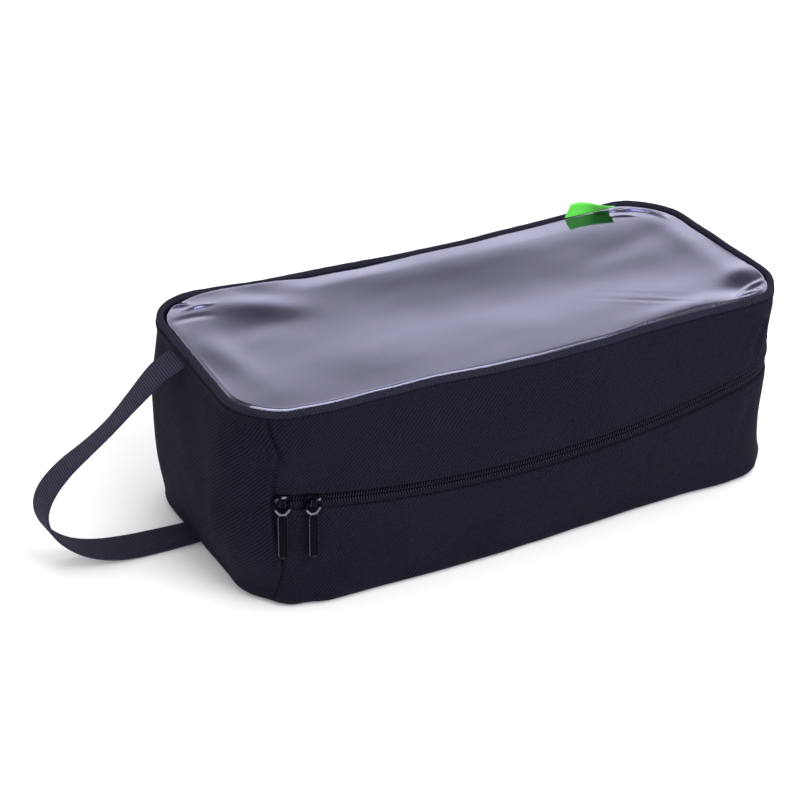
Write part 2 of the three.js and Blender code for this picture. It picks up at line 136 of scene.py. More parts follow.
def end_side(direction, y0, y1, steps=40):
    flat = np.ones(steps)
    x = flat * direction * LENGTH / 2
    return stations(x, np.linspace(y0, y1, steps), -direction * flat, 0 * flat, ZIP_END_Z + CORNER_RISE)


def lay_out():
    rows = np.concatenate([
        end_side(-1, 0, -END),
        corner_turn(-RUN, -END, math.pi, False),
        long_side(-1, FRONT_BOW),
        corner_turn(RUN, -END, -math.pi / 2, True),
        end_side(1, -END, END),
        corner_turn(RUN, END, 0, False),
        long_side(1, BACK_BOW),
        corner_turn(-RUN, END, math.pi / 2, True),
        end_side(-1, END, 0),
    ])
    step = np.hypot(*np.diff(rows[:, :2], axis=0).T)
    return np.concatenate([[0], np.cumsum(step)]), rows


LAP_S, LAP = lay_out()
AROUND = LAP_S[-1]


def outline(s):
    """x, y, nx, ny and the zip's height at each distance s along the outline."""
    s = np.mod(s, AROUND)
    return [np.interp(s, LAP_S, column) for column in LAP.T]


SEAM_TURN = math.asin((RADIUS - SEAM_FROM_END) / RADIUS)
FRONT_SEAM = END + RADIUS * (math.pi / 2 - SEAM_TURN)
BACK_SEAM = AROUND - FRONT_SEAM
FRONT_MIDDLE = float(LAP_S[np.argmin(np.hypot(LAP[:, 0], LAP[:, 1] + WIDTH / 2 + FRONT_BOW))])

# ---- how the cloth hangs


def smooth(low, high, value):
    t = np.clip((value - low) / (high - low), 0, 1)
    return t * t * (3 - 2 * t)


def bump(distance, width):
    """1 at distance 0, falling smoothly to 0 at width."""
    t = np.clip(np.abs(distance) / width, 0, 1)
    return (1 - t * t) ** 2


def around_gap(s, place):
    """The signed distance from place to s along the outline, the shorter way round."""
    return np.mod(s - place + AROUND / 2, AROUND) - AROUND / 2


def waves(u, v, seed, longest, count=9):
    """A soft random relief between about -1 and 1."""
    source = np.random.default_rng(seed)
    total = 0
    for _ in range(count):
        length = longest * source.uniform(0.35, 1)
        angle = source.uniform(0, 2 * math.pi)
        phase = source.uniform(0, 2 * math.pi)
        along = u * math.cos(angle) + v * math.sin(angle)
        total = total + np.sin(2 * math.pi * along / length + phase) * length / longest
    return total / math.sqrt(count)


CORNER = END + TURN / 2
PLACES = {
    "left": 0.0,
    "front_left": CORNER,
    "front": FRONT_MIDDLE,
    "front_right": 2 * FRONT_MIDDLE - CORNER,
    "right": AROUND / 2,
    "back_right": AROUND - 2 * FRONT_MIDDLE + CORNER,
    "back": AROUND - FRONT_MIDDLE,
    "back_left": AROUND - CORNER,
}

# How far the cloth is drawn in from the plain outline, in mm: at the rim, at mid height and at the foot.
# Each row starts with a place on the outline and a distance from it. The bag sags unevenly.
HANG = (
    ("left", 0, 2, -6, 4.5),
    ("left", 36, 2.4, -4.5, 6.5),
    ("front_left", 0, 3.7, 0, 7.5),
    ("front_left", 26, 1.8, 0.3, 1),
    ("front", -122, 1.2, 0, -2),
    ("front", -88, 3.2, 0, -1),
    ("front", -61, 4.5, 0, -0.9),
    ("front", -20, 2.2, 0, 0),
    ("front", 5, 1.6, 0, 1.3),
    ("front", 40, 2.5, 0, 3),
    ("front", 75, 4.8, 0, 4.2),
    ("front", 105, 4.8, 0, 4),
    ("front_right", -22, 3.4, 0, 1.6),
    ("front_right", 0, -0.9, -2, -3),
    ("front_right", 26, -3.8, -3.4, -9),
    ("right", 5, -1.2, -3, -7),
    ("right", 30, 0.3, -1.5, -1),
    ("back_right", 0, 3.2, 0, 1.5),
    ("back_right", 30, 0.8, 0, 0),
    ("back", -55, 2.8, 0, 0),
    ("back", -28, 4.3, 0, 0),
    ("back", 12, 4.1, 0, 0),
    ("back", 60, 2.4, 0, 0),
    ("back", 100, 2.7, 0, 0),
    ("back", 128, 0.6, 0, 0),
    ("back_left", 0, -0.8, -5.5, -0.5),
    ("back_left", 30, 1.2, -5.5, 1.5),
)


def by_place(table, column, s):
    """A column of a table, in mm, at each s: smooth between rows that start with a place and a distance."""
    at = np.array([PLACES[place] + along * MM for place, along, *_ in table] + [AROUND])
    value = np.array([row[2 + column] for row in (*table, table[0])])
    here = np.mod(s, AROUND)
    k = np.clip(np.searchsorted(at, here, side="right") - 1, 0, len(at) - 2)
    share = smooth(at[k], at[k + 1], here)
    return (value[k] * (1 - share) + value[k + 1] * share) * MM


def drawn_in(s, z):
    rim = smooth(84 * MM, 119 * MM, z)
    middle = np.sin(math.pi * np.clip(z / RIM_TOP, 0, 1))
    foot = (1 - smooth(0, 48 * MM, z)) ** 1.5
    return rim * by_place(HANG, 0, s) + middle * by_place(HANG, 1, s) + foot * by_place(HANG, 2, s)


# Creases in the walls: distance along the outline from a corner or the middle of the front, height, lean in
# degrees from upright, half length, half width and depth, in mm.
CREASES = (
    ("front_right", -9, 100, 24, 22, 3.2, 2.3),
    ("front_right", 4, 90, -14, 24, 3.6, 2.4),
    ("front_right", -17, 104, 42, 16, 2.8, 1.2),
    ("front_right", -18, 44, 14, 26, 6, 0.9),
    ("front_left", -16, 98, -24, 22, 5, 1.1),
    ("front_left", -22, 40, 12, 30, 7, 1.3),
    ("front_left", 14, 18, 50, 16, 4.5, 0.9),
    ("front_left", 0, 65, 70, 12, 2.4, 1.5),
    ("front_left", 26, 50, 4, 14, 4, 1),
    ("back_left", 0, 60, 6, 40, 8, 1.2),
    ("back_left", -14, 96, 30, 22, 5, 1.3),
    ("back_right", 4, 88, -22, 26, 5, 1.4),
    ("back_right", -10, 40, 20, 30, 6, 1.1),
)


def fold_section(across, dip):
    """A crest at 0, with a hollow on both sides of it."""
    return np.exp(-(across**2)) * (1 - dip * across**2)


def creases(s, z):
    total = 0
    for corner, along, height, lean, reach, width, depth in CREASES:
        ds = around_gap(s, PLACES[corner] + along * MM)
        dz = z - height * MM
        turn = math.radians(lean)
        across = ds * math.cos(turn) - dz * math.sin(turn)
        length = ds * math.sin(turn) + dz * math.cos(turn)
        fold = fold_section(across / (width * MM), 0.9)
        total = total + depth * MM * fold * bump(length, 1.6 * reach * MM)
    return total


def sag(s, z):
    """How far the cloth lies inside the plain outline."""
    zip_z = outline(s)[4]
    off_zip = smooth(3 * MM, 20 * MM, np.abs(z - zip_z))
    on_panel = smooth(1 * MM, 7 * MM, FRONT_SEAM - np.abs(around_gap(s, 0)))
    off_zip = np.maximum(off_zip, on_panel)
    ripple = waves(s, 1.4 * z, 3, 95 * MM) * 0.6 + waves(s, z, 5, 38 * MM) * 0.22
    held = smooth(0, 9 * MM, z) * smooth(0, 9 * MM, WALL_TOP - z)
    return drawn_in(s, z) + (ripple * MM + creases(s, z)) * off_zip * held


# Bends in the front side seam: height, spread and shift away from the handle, in mm.
SEAM_PATH = ((118, 9, -2.6), (98, 7, 3.4), (30, 20, 3.8), (0, 9, -2.6))


def wander(s, z):
    """The side seams don't run straight: the front one kinks below the rim and bulges out low down."""
    bulge = sum(shift * np.exp(-(((z / MM - height) / spread) ** 2)) for height, spread, shift in SEAM_PATH)
    near = bump(around_gap(s, FRONT_SEAM), 28 * MM)
    back = bump(around_gap(s, BACK_SEAM), 28 * MM) * np.sin(z / (19 * MM))
    return s + (near * bulge + back) * MM


def placed(s, depth, z):
    """Points of the cloth, one for each s, depth and z."""
    s = wander(s, z)
    x, y, nx, ny, _ = outline(s)
    d = depth + sag(s, z)
    return np.stack([x + nx * d, y + ny * d, z + 0 * x], -1)


# ---- mesh making


def add_object(name, data):
    made = bpy.data.objects.new(name, data)
    bpy.context.scene.collection.objects.link(made)
    return made


def new_mesh(name, points, faces, material, uv=None, crisp=None):
    """A piece from points, faces (lists of indices) and, for each face corner, a cloth coordinate.

    Edges sharper than crisp, in degrees, aren't smoothed over."""
    mesh = bpy.data.meshes.new(name)
    mesh.from_pydata([tuple(p) for p in points], [], faces)
    if uv is not None:
        layer = mesh.uv_layers.new(name="cloth")
        layer.data.foreach_set("uv", np.asarray(uv, np.float32).ravel())
    work = bmesh.new()
    work.from_mesh(mesh)
    bmesh.ops.recalc_face_normals(work, faces=work.faces)
    work.to_mesh(mesh)
    work.free()
    mesh.materials.append(material)
    mesh.shade_smooth()
    if crisp:
        mesh.set_sharp_from_angle(angle=math.radians(crisp))
    mesh.update()
    return add_object(name, mesh)


def mark(piece, name, values):
    """Gives each point of a piece a value from 0 to 1, for its material to read."""
    layer = piece.data.attributes.new(name, "FLOAT", "POINT")
    layer.data.foreach_set("value", np.clip(values, 0, 1).astype(np.float32))


def stands_for(piece, slot, *nodes):
    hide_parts(*nodes)


def tube_faces(rings, size, closed):
    """Quads between rings of size points each, with their grid corners, and an open tube's end caps."""
    i, j = np.mgrid[: rings if closed else rings - 1, :size]
    corners = [(i + a, j + b) for a, b in ((0, 0), (0, 1), (1, 1), (1, 0))]
    grid = np.stack([np.stack(corner, -1) for corner in corners], 2).reshape(-1, 2)
    quads = np.stack([a % rings * size + b % size for a, b in corners], -1).reshape(-1, 4)
    faces = quads.tolist()
    ends = []
    if not closed:
        ends = [list(range(size))[::-1], [(rings - 1) * size + k for k in range(size)]]
    return faces, grid, ends


def swept(name, rings, material, closed=False, lengths=None):
    """A tube through rings, an array (ring, point, 3). Its cloth coordinates are real lengths."""
    count, size = rings.shape[:2]
    faces, grid, ends = tube_faces(count, size, closed)
    if lengths is None:
        middle = rings.mean(1)
        steps = np.linalg.norm(np.diff(middle, axis=0, append=middle[:1]), axis=1)
        lengths = np.concatenate([[0], np.cumsum(steps)])
    around = np.linalg.norm(np.diff(rings, axis=1, append=rings[:, :1]), axis=2).mean(0)
    girth = np.concatenate([[0], np.cumsum(around)])
    uv = np.stack([lengths[grid[:, 0]], girth[grid[:, 1]]], -1)
    cap_uv = np.zeros((len(ends) * size, 2))
    return new_mesh(name, rings.reshape(-1, 3), faces + ends, material, np.concatenate([uv, cap_uv]))


def band(name, s, section, material, closed=False):
    """Sweeps a section along the outline. section(s) gives depths and heights, one row for each s."""
    depth, z = section(s)
    rings = placed(s[:, None] + 0 * z, depth, z)
    lengths = np.append(s, 2 * s[-1] - s[-2])
    return swept(name, rings, material, closed, lengths)


def rounded(points, radius, steps=3):
    """A closed outline with each corner rounded."""
    to_before = np.roll(points, 1, 0) - points
    to_after = np.roll(points, -1, 0) - points
    shorter = np.minimum(*(np.linalg.norm(way, axis=1) for way in (to_before, to_after)))
    reach = np.minimum(radius, 0.45 * shorter)[:, None]
    a = points + unit(to_before) * reach
    b = points + unit(to_after) * reach
    t = np.linspace(0, 1, steps + 1)[:, None]
    a, middle, b = a[:, None], points[:, None], b[:, None]
    return ((1 - t) ** 2 * a + 2 * t * (1 - t) * middle + t**2 * b).reshape(-1, 2)


def fine_run(start, end, step, near=(), tight=0.4 * MM, reach=6 * MM):
    """Distances from start to end, spaced by step and closer near some places."""
    places = [start]
    while places[-1] < end - step / 2:
        here = places[-1]
        close = any(abs(here - p) < reach for p in near)
        places.append(here + (tight if close else step))
    places[-1] = end
    return np.array(places)


def scatter(name, centres, along, side, shape, material):
    """Copies of one small mesh, (points, faces), each turned so that its x and y lie on along and side."""
    points, faces = shape
    up = np.cross(along, side)
    basis = np.stack([along, side, up], 1)
    moved = np.einsum("pk,nkc->npc", points, basis) + centres[:, None]
    count = len(points)
    every = [[v + n * count for v in face] for n in range(len(centres)) for face in faces]
    return new_mesh(name, moved.reshape(-1, 3), every, material)


def capsule(length, radius, sides=6):
    """A short rounded rod along x."""
    reach = length / 2
    parts = [(-reach, 0.35), (-reach + radius, 1), (reach - radius, 1), (reach, 0.35)]
    angle = np.arange(sides) * 2 * math.pi / sides
    points = [(x, r * radius * math.cos(a), r * radius * math.sin(a)) for x, r in parts for a in angle]
    faces, _, ends = tube_faces(len(parts), sides, False)
    return np.array(points), faces + ends


def unit(vectors):
    return vectors / np.linalg.norm(vectors, axis=-1, keepdims=True)


def stitch_row(name, start, end, z, depth, material, length=2.1 * MM, radius=0.2 * MM, pitch=2.8 * MM):
    """A row of stitches along z(s), one every pitch, half sunk in the cloth."""
    at = np.arange(start, end, pitch)
    small = 0.5 * MM

    def beside(ahead, inwards):
        return placed(at + ahead, 0 * at + depth + inwards, z(at + ahead))

    centres = beside(0, 0)
    along = unit(beside(small, 0) - beside(-small, 0))
    side = unit(beside(0, small) - centres)
    side = unit(side - along * np.sum(side * along, 1, keepdims=True))
    return scatter(name, centres, along, side, capsule(length, radius), material)


# ---- materials


class Nodes:
    """A short way to write a material's node tree."""

    def __init__(self, name):
        self.material = bpy.data.materials.new(name)
        self.material.use_nodes = True
        self.tree = self.material.node_tree
        self.shader = self.tree.nodes["Principled BSDF"]

    def node(self, kind, **settings):
        made = self.tree.nodes.new(kind)
        for key, value in settings.items():
            if hasattr(made, key):
                setattr(made, key, value)
            else:
                made.inputs[key.replace("_", " ")].default_value = value
        return made

    def link(self, source, target):
        self.tree.links.new(source, target)

    def math(self, operation, *values, clamp=False):
        made = self.node("ShaderNodeMath", operation=operation, use_clamp=clamp)
        for socket, value in zip(made.inputs, values):
            if isinstance(value, (int, float)):
                socket.default_value = value
            else:
                self.link(value, socket)
        return made.outputs[0]

    def cloth(self):
        """The cloth coordinates, u and v, in metres."""
        uv = self.node("ShaderNodeUVMap", uv_map="cloth")
        parts = self.node("ShaderNodeSeparateXYZ")
        self.link(uv.outputs[0], parts.inputs[0])
        return parts.outputs[0], parts.outputs[1]

    def ridges(self, along, pitch):
        """0 to 1 and back, once for each pitch."""
        phase = self.math("MULTIPLY", along, 2 * math.pi / pitch)
        return self.math("MULTIPLY_ADD", self.math("SINE", phase), 0.5, 0.5)

    def noise(self, scale, detail=2.0):
        made = self.node("ShaderNodeTexNoise", Scale=scale, Detail=detail)
        self.link(self.node("ShaderNodeTexCoord").outputs["Object"], made.inputs["Vector"])
        return made.outputs["Fac"]

    def marked(self, name):
        """The value that mark gave to the piece's points."""
        return self.node("ShaderNodeAttribute", attribute_name=name).outputs["Fac"]

    def sum(self, *terms):
        """Adds (socket, weight) pairs."""
        total = None
        for socket, weight in terms:
            scaled = self.math("MULTIPLY", socket, weight)
            total = scaled if total is None else self.math("ADD", total, scaled)
        return total

    def colour(self, factor, low, high):
        """The base colour, between low at 0 and high at 1."""
        made = self.node("ShaderNodeMix", data_type="RGBA")
        self.link(factor, made.inputs["Factor"])
        made.inputs["A"].default_value = (*low, 1)
        made.inputs["B"].default_value = (*high, 1)
        self.link(made.outputs["Result"], self.shader.inputs["Base Color"])

    def bump(self, height, distance):
        made = self.node("ShaderNodeBump", Strength=1.0, Distance=distance)
        self.link(height, made.inputs["Height"])
        self.link(made.outputs[0], self.shader.inputs["Normal"])

    def set(self, **values):
        for key, value in values.items():
            socket = self.shader.inputs[key.replace("_", " ")]
            socket.default_value = (*value, 1) if isinstance(value, tuple) else value


def twill(name, pitch, low, high, ribbing=0.75, rough=0.86):
    """Woven twill: diagonal ribs, each broken into short floats, over a slight change of shade."""
    n = Nodes(name)
    u, v = n.cloth()
    wobble = n.math("MULTIPLY", n.noise(70, 2), 0.0011)
    ribs = n.ridges(n.math("ADD", n.sum((u, 0.707), (v, 0.707)), wobble), pitch)
    floats = n.ridges(n.sum((u, 0.97), (v, -0.25)), pitch * 0.71)
    patches = n.noise(24, 4)
    slubs = n.noise(640, 3)
    fuzz = n.noise(2300, 2)
    weave = (ribs, ribbing), (floats, 1.05 - ribbing)
    n.bump(n.sum(*weave, (fuzz, 0.4), (slubs, 0.3)), 0.28 * MM)
    shade = n.sum(*weave, (patches, 0.3), (fuzz, 0.4), (slubs, 0.7))
    n.colour(n.math("SUBTRACT", shade, 0.64), low, high)
    n.set(Roughness=rough, Specular_IOR_Level=0.06)
    return n.material


def ribbed(name, rib, stripe, low, high, marked=False):
    """Webbing or tape: ribs across it, with a warp along it. With marked, it carries painted shade: dark
    where the open mark is 0.
    """
    n = Nodes(name)
    u, v = n.cloth()
    ribs = n.ridges(u, rib)
    warp = n.ridges(v, stripe)
    fuzz = n.noise(1900, 2)
    slubs = n.noise(300, 3)
    n.bump(n.sum((ribs, 0.8), (warp, 0.45), (fuzz, 0.3)), 0.25 * MM)
    shade = n.math("SUBTRACT", n.sum((ribs, 0.65), (warp, 0.3), (fuzz, 0.35), (slubs, 0.3)), 0.3)
    # Painted shade from the open mark.
    if marked:
        shade = n.math("MULTIPLY", shade, n.marked("open"))
    n.colour(shade, low, high)
    n.set(Roughness=0.8, Specular_IOR_Level=0.08)
    return n.material


def filament(name, low, high, rough, gloss, marked=False):
    """Nylon filament or thread, a little hazy. With marked, its colour carries painted shade: dark where
    the open mark is 0.
    """
    n = Nodes(name)
    haze = n.noise(1100, 3)
    # With marked, the colour is painted shade from the open mark.
    n.colour(n.math("MULTIPLY", n.marked("open"), 1.3) if marked else haze, low, high)
    n.link(n.math("MULTIPLY_ADD", haze, 0.2, rough - 0.1), n.shader.inputs["Roughness"])
    n.bump(haze, 0.03 * MM)
    n.set(Specular_IOR_Level=gloss)
    return n.material


def enamel(name):
    """Gloss black enamel over cast metal. Where marked it turns bright metal: raised edges rubbed to a
    bright finish, and painted highlights where the lamps' glints fall.
    """
    n = Nodes(name)
    peel = n.noise(620, 2)
    scuffs = n.noise(1500, 4)
    scuffed = n.math("MULTIPLY_ADD", scuffs, 1.6, -0.15, clamp=True)
    # Painted highlights and rubbed edges: the marked places are mixed towards bright metal.
    patchy = n.math("MULTIPLY", n.marked("wear_and_highlight"), scuffed, clamp=True)
    n.colour(patchy, (0.0015, 0.0015, 0.004), (0.5, 0.5, 0.57))
    n.link(n.math("MULTIPLY", patchy, 0.85), n.shader.inputs["Metallic"])
    n.link(n.math("MULTIPLY_ADD", scuffs, 0.12, 0.2), n.shader.inputs["Roughness"])
    n.bump(peel, 0.02 * MM)
    n.set(Specular_IOR_Level=0.025)
    return n.material


def satin(name):
    """Bright green satin ribbon with a fine weave."""
    n = Nodes(name)
    u, v = n.cloth()
    weave = n.sum((n.ridges(u, 0.5 * MM), 0.5), (n.ridges(v, 0.6 * MM), 0.3), (n.noise(1500, 2), 0.35))
    n.colour(weave, (0.035, 0.4, 0.02), (0.14, 0.8, 0.08))
    n.bump(weave, 0.05 * MM)
    n.set(Roughness=0.4, Specular_IOR_Level=0.4, Sheen_Weight=0.2, Sheen_Tint=(0.7, 1.0, 0.6))
    return n.material


def film(name):
    """Soft clear film: see-through, with a glossy face that mirrors the room more at a glancing angle."""
    n = Nodes(name)
    haze = n.noise(14, 3)
    n.set(Base_Color=(0.75, 0.75, 1.0), Metallic=1.0)
    n.link(n.math("MULTIPLY_ADD", n.noise(260, 3), 0.06, 0.05), n.shader.inputs["Roughness"])
    clear = n.node("ShaderNodeBsdfTransparent", Color=(0.93, 0.93, 0.97, 1))
    mix = n.node("ShaderNodeMixShader")
    mirror = n.node("ShaderNodeFresnel", IOR=1.55)
    glare = n.math("MULTIPLY", mirror.outputs[0], 1.7)
    share = n.math("ADD", glare, n.math("MULTIPLY", haze, 0.08), clamp=True)
    n.link(share, mix.inputs[0])
    n.link(clear.outputs[0], mix.inputs[1])
    n.link(n.shader.outputs[0], mix.inputs[2])
    n.link(mix.outputs[0], n.tree.nodes["Material Output"].inputs["Surface"])
    return n.material


INK = (0.0004, 0.0003, 0.0016)  # the black twill between its ribs
TWILL = twill("twill", 1.75 * MM, INK, (0.0118, 0.0104, 0.0222), 0.65)
BIAS_TWILL = twill("bias_twill", 1.5 * MM, INK, (0.026, 0.024, 0.043), 0.5)
LINING = twill("lining_twill", 1.2 * MM, (0.006, 0.006, 0.009), (0.016, 0.016, 0.022), rough=0.95)
WEBBING = ribbed("webbing", 1.5 * MM, 1.3 * MM, (0.001, 0.0009, 0.0025), (0.039, 0.037, 0.066))
BINDING = ribbed("binding_tape", 0.8 * MM, 0.6 * MM, (0.008, 0.008, 0.011), (0.02, 0.02, 0.026))
TAPE = ribbed("zip_tape_cloth", 0.6 * MM, 1.1 * MM, (0.0005, 0.0005, 0.001), (0.0165, 0.015, 0.028), True)
COIL = filament("coil_nylon", (0.0004, 0.0003, 0.001), (0.022, 0.0195, 0.038), 0.55, 0.08, True)
THREAD = filament("sewing_thread", (0.003, 0.003, 0.005), (0.014, 0.0132, 0.021), 0.6, 0.15)
ENAMEL = enamel("black_enamel")
SATIN = satin("green_satin")
FILM = film("clear_film_sheet")

# ---- walls

# Distances of the mesh's rows from a hem, from the foot and from the top edge.
HEM_ROWS = np.array([0, 0.3, 0.8, 1.4, 2, 2.6, 3.2, 3.8, 4.2, 4.6, 5, 5.6, 6.6]) * MM
FOOT_ROWS = np.array([0, 0.3, 0.8, 1.5, 2.5, 4, 6, 9]) * MM
TOP_ROWS = np.array([0, 0.4, 0.9, 1.5, 2.3, 3.4, 5]) * MM
STITCH_FROM_HEM = 4.2 * MM


def heights(low, high, near_low, near_high, between=14):
    """Rows of heights from low to high, closer together near both ends."""
    low, high = low[:, None], high[:, None]
    first, last = low + near_low[-1], high - near_high[-1]
    t = np.linspace(0, 1, between + 2)[1:-1]
    return np.concatenate([low + near_low, first + (last - first) * t, high - near_high[::-1]], 1)


def foot_curve(z):
    """The cloth turns under, towards the seam with the bottom panel."""
    r = 4.5 * MM
    inside = np.clip(r - z, 0, r)
    welt = 0.7 * MM * bump(z - 5.5 * MM, 3 * MM)
    return r - np.sqrt(r**2 - inside**2) - welt


def hem_curve(distance):
    """A folded edge: slightly thick, with the topstitch sunk in a groove."""
    fold = 0.35 * MM * bump(distance - 2.2 * MM, 2.4 * MM)
    edge = 0.5 * MM * bump(distance, 0.9 * MM)
    groove = 0.4 * MM * bump(distance - STITCH_FROM_HEM, 0.9 * MM)
    beyond = 0.3 * MM * bump(distance - 6.2 * MM, 2.2 * MM)
    return edge + groove - fold - beyond


def under_piping(z):
    """The edge is rolled over the seam, so that it hugs the piping."""
    rolled = 1.2 * MM * smooth(WALL_TOP - 1.1 * MM, WALL_TOP, z)
    return rolled - 0.75 * MM * bump(WALL_TOP - z - 1.6 * MM, 3.0 * MM)


def top_thickness(z):
    """The cloth is thinned where the piping sits on it."""
    return -0.75 * MM * smooth(WALL_TOP - 5 * MM, WALL_TOP - 1 * MM, z)


def cloth_section(z, outer, thickness):
    """A closed section from rows of heights and of the outer face's depths."""
    inner = outer + thickness
    return np.concatenate([inner, outer[:, ::-1]], 1), np.concatenate([z, z[:, ::-1]], 1)


def above_foot(z):
    return smooth(2 * MM, 14 * MM, z)


def off_seam(s):
    """The distance from each s to the nearer side seam, as a column."""
    front, back = around_gap(s, FRONT_SEAM), around_gap(s, BACK_SEAM)
    return np.minimum(np.abs(front), np.abs(back))[:, None]


def beside_seam(s, z):
    """A wall's edge dips under the end panel's fold."""
    return 1.0 * MM * bump(off_seam(s), 2.8 * MM) * above_foot(z)


def lower_section(s):
    high = outline(s)[4] - LOWER_HEM
    z = heights(0 * s + FOOT_Z, high, FOOT_ROWS, HEM_ROWS)
    below = high[:, None] - z
    outer = foot_curve(z) + hem_curve(below) + beside_seam(s, z)
    return cloth_section(z, outer, CLOTH + 0.5 * MM * bump(below, 7 * MM))


def upper_section(s):
    low = outline(s)[4] + UPPER_HEM
    z = heights(low, 0 * s + WALL_TOP, HEM_ROWS, TOP_ROWS)
    above = z - low[:, None]
    outer = hem_curve(above) + under_piping(z) + beside_seam(s, z)
    return cloth_section(z, outer, CLOTH + 0.5 * MM * bump(above, 7 * MM) + top_thickness(z))


def panel_section(s):
    z = heights(0 * s + FOOT_Z, 0 * s + WALL_TOP, FOOT_ROWS, TOP_ROWS, 40)
    gap = off_seam(s)
    uneven = 1 + 0.35 * np.sin(z / (7 * MM)) * np.sin(z / (3.1 * MM) + 1)
    fold = 0.8 * MM * bump(gap - 2.6 * MM, 2.4 * MM) * uneven
    edge = 0.9 * MM * bump(gap, 1.2 * MM)
    outer = foot_curve(z) + under_piping(z) + (edge - fold) * above_foot(z)
    return cloth_section(z, outer, CLOTH + top_thickness(z))


def make_walls():
    s = fine_run(FRONT_SEAM + 0.2 * MM, BACK_SEAM - 0.2 * MM, 2 * MM, (FRONT_SEAM, BACK_SEAM))
    lower = band("lower_wall_cloth", s, lower_section, TWILL)
    upper = band("upper_wall_cloth", s, upper_section, TWILL)
    for piece, body, node in ((lower, "base", "lower_wall"), (upper, "lid", "upper_wall")):
        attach(piece, body)
        stands_for(piece, "fabric", node)
    start, end = FRONT_SEAM + 2 * MM, BACK_SEAM - 2 * MM
    for name, body, offset in (
        ("topstitch_lower", "base", -LOWER_HEM - STITCH_FROM_HEM),
        ("topstitch_upper", "lid", UPPER_HEM + STITCH_FROM_HEM),
    ):
        row = stitch_row(name, start, end, lambda at: outline(at)[4] + offset, 0.28 * MM, THREAD)
        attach(row, body)


def make_end_panel():
    ends = (BACK_SEAM, AROUND + FRONT_SEAM)
    s = fine_run(ends[0] + 0.2 * MM, ends[1] - 0.2 * MM, 2 * MM, ends)
    panel = band("end_panel_cloth", s, panel_section, TWILL)
    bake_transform(panel)
    stands_for(panel, "fabric", "end_panel_lower", "end_panel_upper")


# ---- bottom


def rings_to(fractions, inset, height, s):
    """Rings that shrink from the outline, inset, to a line along the bag's middle."""
    edge = placed(s, inset, 0 * s + height)
    spine_x = np.clip(edge[:, 0], -(RUN - END), RUN - END)
    spine = np.stack([spine_x, 0 * spine_x, edge[:, 2]], -1)
    return np.stack([spine + (edge - spine) * f for f in fractions])


def slab(name, middle, thickness, material):
    """A closed sheet around rings of points that run inwards."""
    count, size = middle.shape[:2]
    half = np.array([0, 0, thickness / 2])
    points = np.concatenate([(middle - half)[::-1], middle + half]).reshape(-1, 3)
    faces, _, _ = tube_faces(2 * count, size, False)
    for base, turn in ((0, 1), ((2 * count - 1) * size, -1)):
        for k in range(size // 2):
            quad = [base + k, base + k + 1, base + (size - k - 1) % size, base + (size - k) % size]
            quad = list(dict.fromkeys(quad))
            if len(quad) > 2:
                faces.append(quad[::-turn])
    uv = [points[v][:2] for face in faces for v in face]
    return new_mesh(name, points, faces, material, np.array(uv))


def make_bottom():
    s = np.linspace(0, AROUND, 241)[:-1]
    rings = rings_to(np.linspace(1, 0.04, 16), BOTTOM_INSET, CLOTH, s)
    rings[..., 2] += 0.35 * MM * waves(rings[..., 0], rings[..., 1], 21, 90 * MM)
    panel = slab("bottom_panel_cloth", rings, CLOTH, LINING)
    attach(panel, "base")
    stands_for(panel, "fabric", "bottom_panel")


# ---- piping


def piping_section(s):
    """A round cover, gathered into a flange that hangs behind the wall's top edge."""
    angle = np.radians(np.linspace(-48, 236, 22))
    ripple = 0.10 * MM * waves(s[:, None], 12 * angle[None, :] * MM, 31, 11 * MM)
    radius = PIPING_RADIUS - 0.1 * MM + ripple
    ring_depth = PIPING_DEPTH + radius * np.cos(angle)
    ring_z = PIPING_Z + radius * np.sin(angle)
    leg = PIPING_Z + np.array([-8, -5, -2]) * MM
    one = np.ones((len(s), len(leg)))
    back = one * (PIPING_DEPTH + 1.2 * MM)
    front = one * (PIPING_DEPTH - 0.35 * MM)
    depth = np.concatenate([back, ring_depth, front], 1)
    z = np.concatenate([one * leg, ring_z, one * leg[::-1]], 1)
    return depth, z


def make_piping():
    s = np.linspace(0, AROUND, 521)[:-1]
    cover = band("piping_cover_cloth", s, piping_section, BIAS_TWILL, closed=True)
    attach(cover, "lid")
    stands_for(cover, "fabric", "piping_cover", "piping_cord")


# ---- window film

# Soft hollows and swells in the film: x, y, half length, half width, turn in degrees and rise, all but the
# turn in mm.
SWELLS = (
    (-20, 48, 75, 17, -3, 0.9),
    (80, 45, 90, 17, 2, 0.9),
    (-40, -2, 110, 27, 4, -1.3),
    (85, -12, 75, 24, -2, -1.5),
    (-113, 41, 25, 11, -30, 1.5),
    (-122, 20, 32, 13, 0, -0.7),
    (-150, 0, 10, 34, 12, 1),
    (152, 20, 12, 40, -4, 0.8),
    (150, -53, 17, 8, 12, -2.6),
    (159, -36, 12, 7, 24, 1.2),
    (112, -60, 34, 7, 2, 0.9),
    (118, 20, 34, 10, 14, -0.6),
)

# How far the film's edge lies above its usual height, in mm, by place.
FILM_EDGE = (
    ("left", 0, -0.3),
    ("front_left", 0, 0),
    ("front_right", 0, 0.2),
    ("right", -20, -0.8),
    ("right", 25, -1.2),
    ("back_right", 0, -1.2),
    ("back_right", 35, -0.8),
    ("back", 0, -0.6),
    ("back", 45, -1.9),
    ("back", 68, -1.6),
    ("back", 105, 1),
    ("back", 125, 0.6),
    ("back_left", -8, -1.6),
    ("back_left", 12, -1.2),
)

